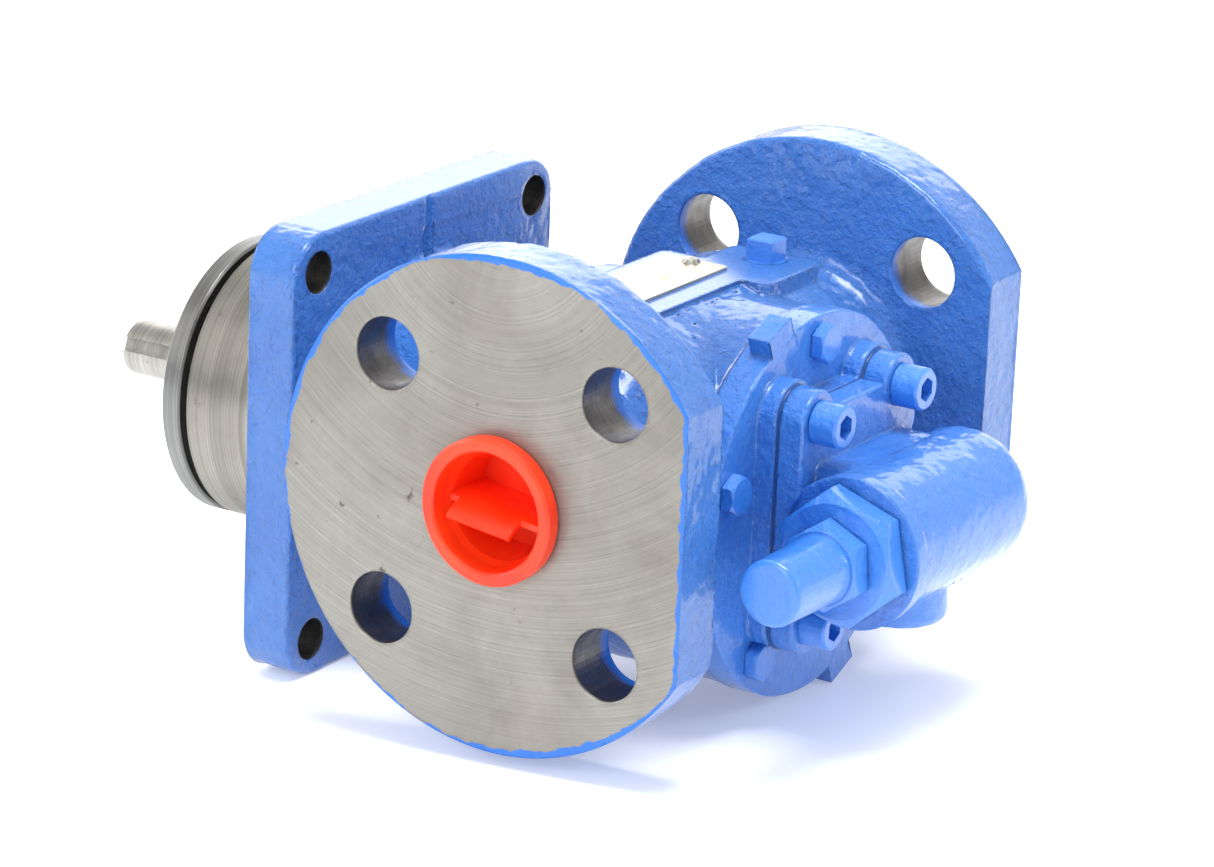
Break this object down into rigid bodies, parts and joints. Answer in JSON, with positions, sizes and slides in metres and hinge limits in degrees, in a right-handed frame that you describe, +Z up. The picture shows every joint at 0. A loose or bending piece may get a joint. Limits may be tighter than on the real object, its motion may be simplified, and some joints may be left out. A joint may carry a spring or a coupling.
{
  "type": "internal gear pump",
  "caption": "Internal gear pump with flanged side ports, a square mounting flange with a round pilot, a keyed drive shaft and a relief valve bolted to its head.",
  "frame": {"origin": "on the shaft axis, in the plane of the square flange's mounting face", "axes": "+X along the shaft towards the head and relief valve, so the shaft end points to -X; +Y towards the rear port, -Y towards the front port; +Z up"},
  "size_m": [0.2227, 0.15, 0.1148],
  "materials": {
    "blue_casting": "gloss enamel over sand-cast iron",
    "blue_hardware": "gloss enamel over machined steel",
    "machined_steel": "turned, slightly stained",
    "cover_steel": "turned",
    "shaft_steel": "ground",
    "black_screw": "black oxide",
    "zinc_steel": "zinc plated",
    "black_rubber": "matt",
    "bearing_steel": "polished",
    "brass_cage": "satin",
    "ceramic": "lapped ceramic",
    "carbon": "lapped carbon",
    "spring_steel": "drawn wire",
    "bronze": "satin",
    "gear_iron": "machined, oiled",
    "gear_steel": "machined, oiled",
    "gasket": "fibre sheet",
    "plate_metal": "rolled sheet",
    "red_plastic": "moulded, satin"
  },
  "bodies": {
    "casing": {"pump_casing": "blue_casting", "bearing_carrier": "machined_steel", "carrier_setscrews": "black_screw", "bearing_cover": "cover_steel", "cover_screws": "black_screw", "seal_case": "zinc_steel", "seal_lip": "black_rubber", "bearing_outer_race": "bearing_steel", "seal_seat": "ceramic", "seal_seat_boot": "black_rubber", "shaft_bushing": "bronze", "idler_pin": "shaft_steel", "head": "blue_casting", "head_gasket": "gasket", "head_bolts": "blue_hardware", "valve_gasket": "gasket", "valve_body": "blue_casting", "valve_screws": "blue_hardware", "bonnet": "blue_hardware", "bonnet_gasket": "gasket", "adjuster_cap": "blue_hardware", "cap_gasket": "gasket", "gauge_plug": "blue_hardware", "nameplate": "plate_metal", "nameplate_screws": "zinc_steel", "relief_spring": "spring_steel"},
    "shaft_and_rotor": {"drive_shaft": "shaft_steel", "shaft_ring": "black_screw", "bearing_inner_race": "bearing_steel", "seal_face": "carbon", "seal_bellows": "black_rubber", "seal_spring": "spring_steel", "seal_collar": "zinc_steel", "rotor": "gear_iron", "rotor_key": "spring_steel"},
    "ball_train": {"bearing_balls": "bearing_steel", "bearing_cage": "brass_cage"},
    "idler": {"idler_gear": "gear_steel", "idler_bushing": "bronze"},
    "poppet": {"valve_poppet": "gear_steel"},
    "guide": {"spring_guide": "zinc_steel"},
    "adjuster": {"adjusting_screw": "zinc_steel"},
    "front_cap": {"port_cap_front": "red_plastic"},
    "rear_cap": {"port_cap_rear": "red_plastic"}
  },
  "joints": [
    {"name": "shaft_spin", "type": "hinge", "parent": "casing", "child": "shaft_and_rotor", "pos_m": [0, 0, 0], "axis": [1, 0, 0], "continuous": true},
    {"name": "cage_spin", "type": "hinge", "parent": "casing", "child": "ball_train", "pos_m": [0, 0, 0], "axis": [1, 0, 0], "continuous": true},
    {"name": "idler_spin", "type": "hinge", "parent": "casing", "child": "idler", "pos_m": [0, 0, 0.0075], "axis": [1, 0, 0], "continuous": true},
    {"name": "poppet_lift", "type": "slide", "parent": "casing", "child": "poppet", "axis": [0, -1, 0], "range_m": [0, 0.004], "stiffness_N_per_m": 2000, "deforming": ["relief_spring"]},
    {"name": "guide_travel", "type": "slide", "parent": "casing", "child": "guide", "axis": [0, 1, 0], "range_m": [0, 0.0025], "deforming": ["relief_spring"]},
    {"name": "adjuster_turn", "type": "hinge", "parent": "guide", "child": "adjuster", "pos_m": [0.1365, 0, 0], "axis": [0, 1, 0], "range_deg": [0, 720]},
    {"name": "front_cap_pull", "type": "slide", "parent": "casing", "child": "front_cap", "axis": [0, -1, 0], "range_m": [0, 0.03]},
    {"name": "rear_cap_pull", "type": "slide", "parent": "casing", "child": "rear_cap", "axis": [0, 1, 0], "range_m": [0, 0.03]}
  ],
  "couplings": [
    {"joint": "idler_spin", "follows": "shaft_spin", "ratio": 1.5},
    {"joint": "cage_spin", "follows": "shaft_spin", "ratio": 0.38092},
    {"joint": "adjuster_turn", "follows": "guide_travel", "rad_per_m": 5026.5}
  ]
}
